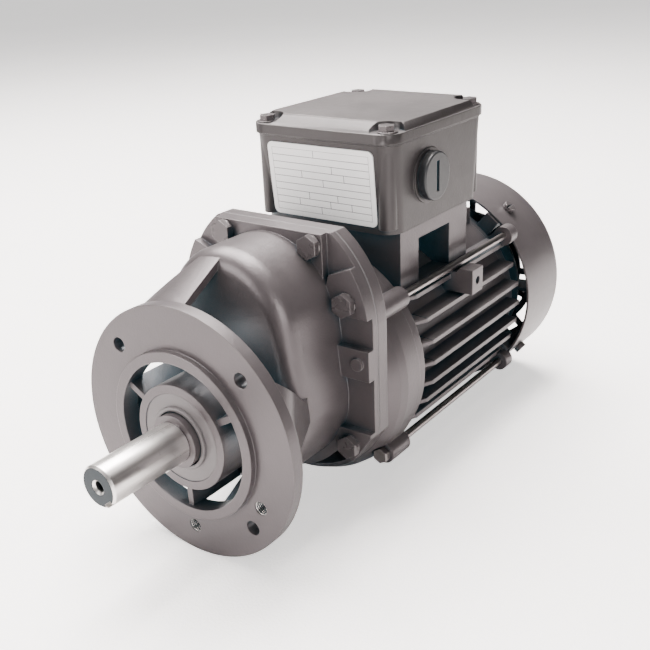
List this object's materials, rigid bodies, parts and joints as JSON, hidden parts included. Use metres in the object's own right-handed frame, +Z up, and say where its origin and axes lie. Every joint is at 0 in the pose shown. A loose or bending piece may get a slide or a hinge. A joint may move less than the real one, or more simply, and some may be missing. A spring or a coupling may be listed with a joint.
{
  "type": "ac gear motor",
  "caption": "Inline helical gear motor with a round output flange and keyed shaft, a finned fan-cooled motor on the same axis, and a terminal box on top.",
  "frame": {"origin": "centre of the output flange's mounting face, on the shaft axis", "axes": "-Y out along the output shaft, +Y towards the motor and its fan, +Z up to the terminal box, +X to the side with the cable entry"},
  "size_m": [0.12, 0.316, 0.179],
  "materials": {
    "casting_paint": "silver-grey enamel over castings, satin",
    "painted_fasteners": "silver-grey enamel over steel",
    "tie_rod_steel": "drawn steel with thin paint",
    "shaft_steel": "turned and ground, bright",
    "gear_steel": "hardened and ground",
    "bearing_steel": "polished",
    "spring_steel": "blackened",
    "seal_rubber": "moulded, matt",
    "gasket": "matt",
    "lamination_steel": "stacked sheet",
    "cage_aluminium": "as cast",
    "winding_copper": "varnished copper wire",
    "fan_plastic": "black, moulded",
    "plug_plastic": "grey, painted over",
    "block_plastic": "black moulding",
    "terminal_brass": "plain",
    "zinc_steel": "zinc plated",
    "plate_film": "white film with ruled boxes"
  },
  "bodies": {
    "housing": {"bearing_preload_washer": "spring_steel", "bearing_retaining_ring": "spring_steel", "blanking_plug": "plug_plastic", "blanking_plug_ring": "gasket", "fan_cowl": "casting_paint", "fan_cowl_screws": "painted_fasteners", "front_end_shield": "casting_paint", "gear_case": "casting_paint", "gear_case_bolts": "painted_fasteners", "gear_case_gasket": "gasket", "layshaft_front_bearing_outer_ring": "bearing_steel", "layshaft_rear_bearing_outer_ring": "bearing_steel", "motor_front_bearing_outer_ring": "bearing_steel", "motor_rear_bearing_outer_ring": "bearing_steel", "motor_shaft_seal": "seal_rubber", "output_front_bearing_outer_ring": "bearing_steel", "output_rear_bearing_outer_ring": "bearing_steel", "output_shaft_seal": "seal_rubber", "rating_plate": "plate_film", "rear_end_shield": "casting_paint", "stator_core": "lamination_steel", "stator_frame": "casting_paint", "stator_windings": "winding_copper", "terminal_block": "block_plastic", "terminal_box": "casting_paint", "terminal_box_gasket": "gasket", "terminal_box_lid": "casting_paint", "terminal_box_screws": "zinc_steel", "terminal_lid_gasket": "gasket", "terminal_lid_screws": "painted_fasteners", "terminal_links": "terminal_brass", "terminal_nuts": "terminal_brass", "terminal_studs": "terminal_brass", "tie_bolts": "tie_rod_steel"},
    "rotor": {"motor_shaft": "shaft_steel", "motor_pinion": "gear_steel", "rotor_core": "lamination_steel", "rotor_cage": "cage_aluminium", "fan": "fan_plastic", "fan_retaining_ring": "spring_steel", "motor_front_bearing_inner_ring": "bearing_steel", "motor_rear_bearing_inner_ring": "bearing_steel"},
    "layshaft": {"layshaft_with_pinion": "shaft_steel", "first_stage_wheel": "gear_steel", "layshaft_front_bearing_inner_ring": "bearing_steel", "layshaft_rear_bearing_inner_ring": "bearing_steel"},
    "output": {"output_shaft": "shaft_steel", "output_gear": "gear_steel", "output_gear_key": "spring_steel", "output_gear_circlip": "spring_steel", "output_front_bearing_inner_ring": "bearing_steel", "output_rear_bearing_inner_ring": "bearing_steel"},
    "output_front_balls": {"output_front_bearing_balls": "bearing_steel"},
    "output_rear_balls": {"output_rear_bearing_balls": "bearing_steel"},
    "layshaft_front_balls": {"layshaft_front_bearing_balls": "bearing_steel"},
    "layshaft_rear_balls": {"layshaft_rear_bearing_balls": "bearing_steel"},
    "motor_front_balls": {"motor_front_bearing_balls": "bearing_steel"},
    "motor_rear_balls": {"motor_rear_bearing_balls": "bearing_steel"}
  },
  "joints": [
    {"name": "rotor_spin", "type": "hinge", "parent": "housing", "child": "rotor", "pos_m": [0, 0.16, 0], "axis": [0, 1, 0], "continuous": true},
    {"name": "layshaft_spin", "type": "hinge", "parent": "housing", "child": "layshaft", "pos_m": [0, 0.056, 0.035], "axis": [0, 1, 0], "continuous": true},
    {"name": "output_spin", "type": "hinge", "parent": "housing", "child": "output", "pos_m": [0, 0.02, 0], "axis": [0, 1, 0], "continuous": true},
    {"name": "output_front_balls_roll", "type": "hinge", "parent": "housing", "child": "output_front_balls", "pos_m": [0, 0.012, 0], "axis": [0, 1, 0], "continuous": true},
    {"name": "output_rear_balls_roll", "type": "hinge", "parent": "housing", "child": "output_rear_balls", "pos_m": [0, 0.035, 0], "axis": [0, 1, 0], "continuous": true},
    {"name": "layshaft_front_balls_roll", "type": "hinge", "parent": "housing", "child": "layshaft_front_balls", "pos_m": [0, 0.037, 0.035], "axis": [0, 1, 0], "continuous": true},
    {"name": "layshaft_rear_balls_roll", "type": "hinge", "parent": "housing", "child": "layshaft_rear_balls", "pos_m": [0, 0.076, 0.035], "axis": [0, 1, 0], "continuous": true},
    {"name": "motor_front_balls_roll", "type": "hinge", "parent": "housing", "child": "motor_front_balls", "pos_m": [0, 0.0895, 0], "axis": [0, 1, 0], "continuous": true},
    {"name": "motor_rear_balls_roll", "type": "hinge", "parent": "housing", "child": "motor_rear_balls", "pos_m": [0, 0.22, 0], "axis": [0, 1, 0], "continuous": true}
  ],
  "couplings": [
    {"joint": "layshaft_spin", "follows": "rotor_spin", "ratio": -0.25455},
    {"joint": "output_spin", "follows": "rotor_spin", "ratio": 0.092562},
    {"joint": "output_front_balls_roll", "follows": "rotor_spin", "ratio": 0.036428},
    {"joint": "output_rear_balls_roll", "follows": "rotor_spin", "ratio": 0.036669},
    {"joint": "layshaft_front_balls_roll", "follows": "rotor_spin", "ratio": -0.093333},
    {"joint": "layshaft_rear_balls_roll", "follows": "rotor_spin", "ratio": -0.093333},
    {"joint": "motor_front_balls_roll", "follows": "rotor_spin", "ratio": 0.38},
    {"joint": "motor_rear_balls_roll", "follows": "rotor_spin", "ratio": 0.36364}
  ]
}
